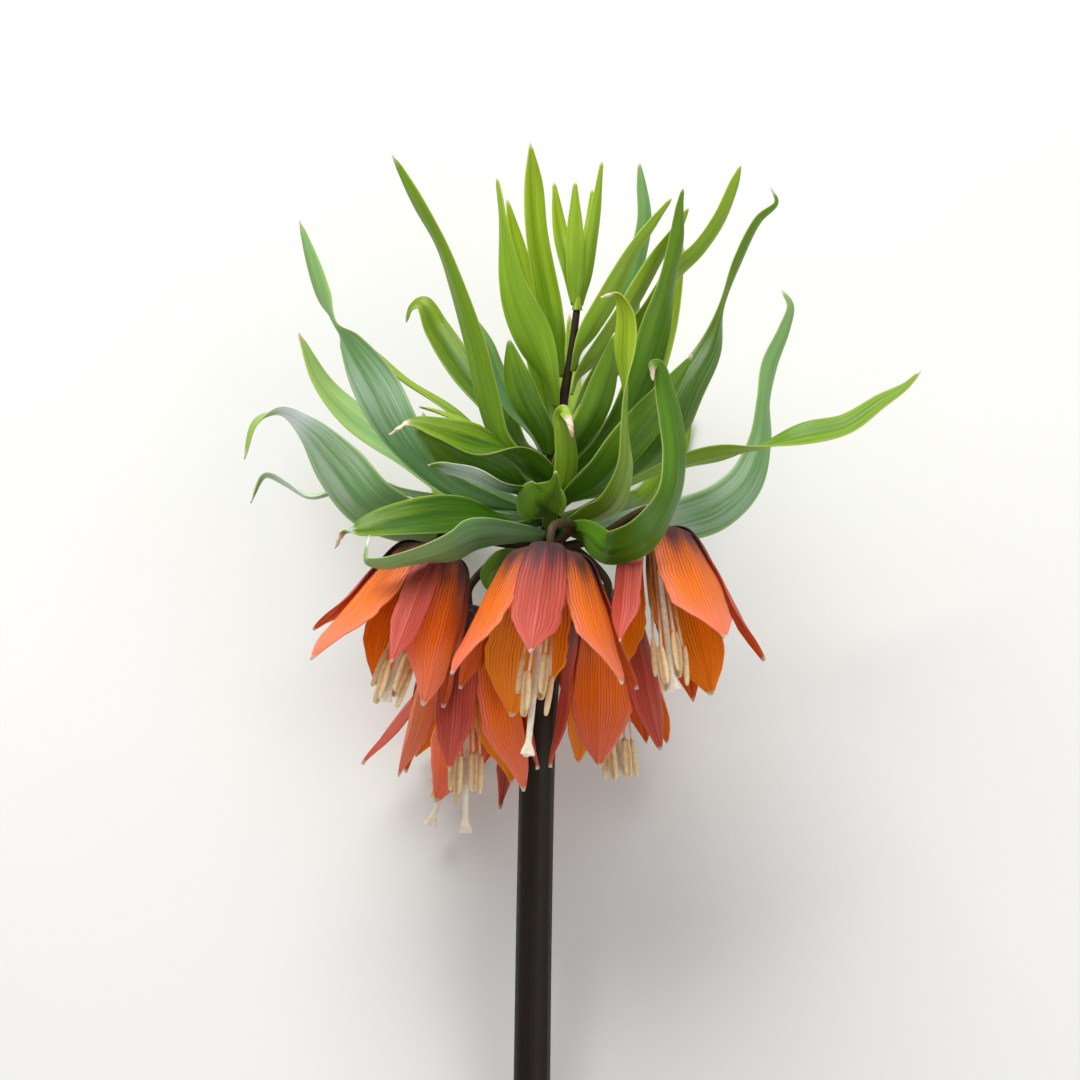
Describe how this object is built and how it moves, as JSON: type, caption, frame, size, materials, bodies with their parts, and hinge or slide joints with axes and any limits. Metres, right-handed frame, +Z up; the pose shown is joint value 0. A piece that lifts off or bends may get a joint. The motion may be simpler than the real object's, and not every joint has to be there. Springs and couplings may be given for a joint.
{
  "type": "crown imperial fritillary cut stem",
  "caption": "Cut crown imperial flower stem lying down: hanging orange bells under a crown of long strap leaves.",
  "frame": {"origin": "on the surface that the stem lies on, under the middle of its bounding box", "axes": "+Z up, +Y along the stem from its cut end to the leaf crown, +X across"},
  "size_m": [0.222, 0.3496, 0.1505],
  "materials": {
    "stem_skin": "satin",
    "green_leaf": "satin",
    "glaucous_leaf": "satin",
    "fresh_leaf": "satin",
    "brick_tepal": "satin",
    "orange_tepal": "satin",
    "cream_stamen": "matte"
  },
  "bodies": {
    "root": {"stem": "stem_skin", "bell_front_outer_tepals": "brick_tepal", "bell_front_inner_tepals": "orange_tepal", "bell_front_stamens": "cream_stamen", "bell_front_left_outer_tepals": "brick_tepal", "bell_front_left_inner_tepals": "orange_tepal", "bell_front_left_stamens": "cream_stamen", "bell_front_right_outer_tepals": "brick_tepal", "bell_front_right_inner_tepals": "orange_tepal", "bell_front_right_stamens": "cream_stamen", "bell_left_outer_tepals": "brick_tepal", "bell_left_inner_tepals": "orange_tepal", "bell_left_stamens": "cream_stamen", "bell_right_outer_tepals": "brick_tepal", "bell_right_inner_tepals": "orange_tepal", "bell_right_stamens": "cream_stamen", "bell_back_left_outer_tepals": "brick_tepal", "bell_back_left_inner_tepals": "orange_tepal", "bell_back_left_stamens": "cream_stamen", "bell_back_right_outer_tepals": "brick_tepal", "bell_back_right_inner_tepals": "orange_tepal", "bell_back_right_stamens": "cream_stamen", "leaf_tuft": "fresh_leaf", "leaf_left_tall": "glaucous_leaf", "leaf_left_arching": "glaucous_leaf", "leaf_left_ribbon": "glaucous_leaf", "leaf_left_strip": "fresh_leaf", "leaf_left_rising": "green_leaf", "leaf_left_dark": "green_leaf", "leaf_left_curled": "fresh_leaf", "leaf_left_white_edged": "green_leaf", "leaf_left_over": "green_leaf", "leaf_front_left_broad": "green_leaf", "leaf_front_left_low": "glaucous_leaf", "leaf_front_left_hanging": "green_leaf", "leaf_front": "green_leaf", "leaf_front_upright": "fresh_leaf", "leaf_front_right_hooked": "fresh_leaf", "leaf_front_right_cupped": "green_leaf", "leaf_right_broad": "green_leaf", "leaf_right_inner": "green_leaf", "leaf_right_tall": "green_leaf", "leaf_right_upturned": "glaucous_leaf", "leaf_right_reaching": "fresh_leaf", "leaf_right_upright": "green_leaf", "leaf_right_far": "fresh_leaf", "leaf_right_pale": "glaucous_leaf", "leaf_upper_right_front": "fresh_leaf", "leaf_upper_right": "fresh_leaf", "leaf_upper_left": "fresh_leaf", "leaf_upper_left_tall": "fresh_leaf", "leaf_upper_left_short": "green_leaf", "leaf_upper_left_pale": "glaucous_leaf", "leaf_back_left_long": "glaucous_leaf", "leaf_back_left_drooping": "green_leaf", "leaf_back_left_low": "green_leaf", "leaf_back_right_low": "green_leaf", "leaf_back_middle": "green_leaf", "leaf_back_right_rising": "green_leaf", "leaf_back_upright": "fresh_leaf"}
  },
  "joints": []
}
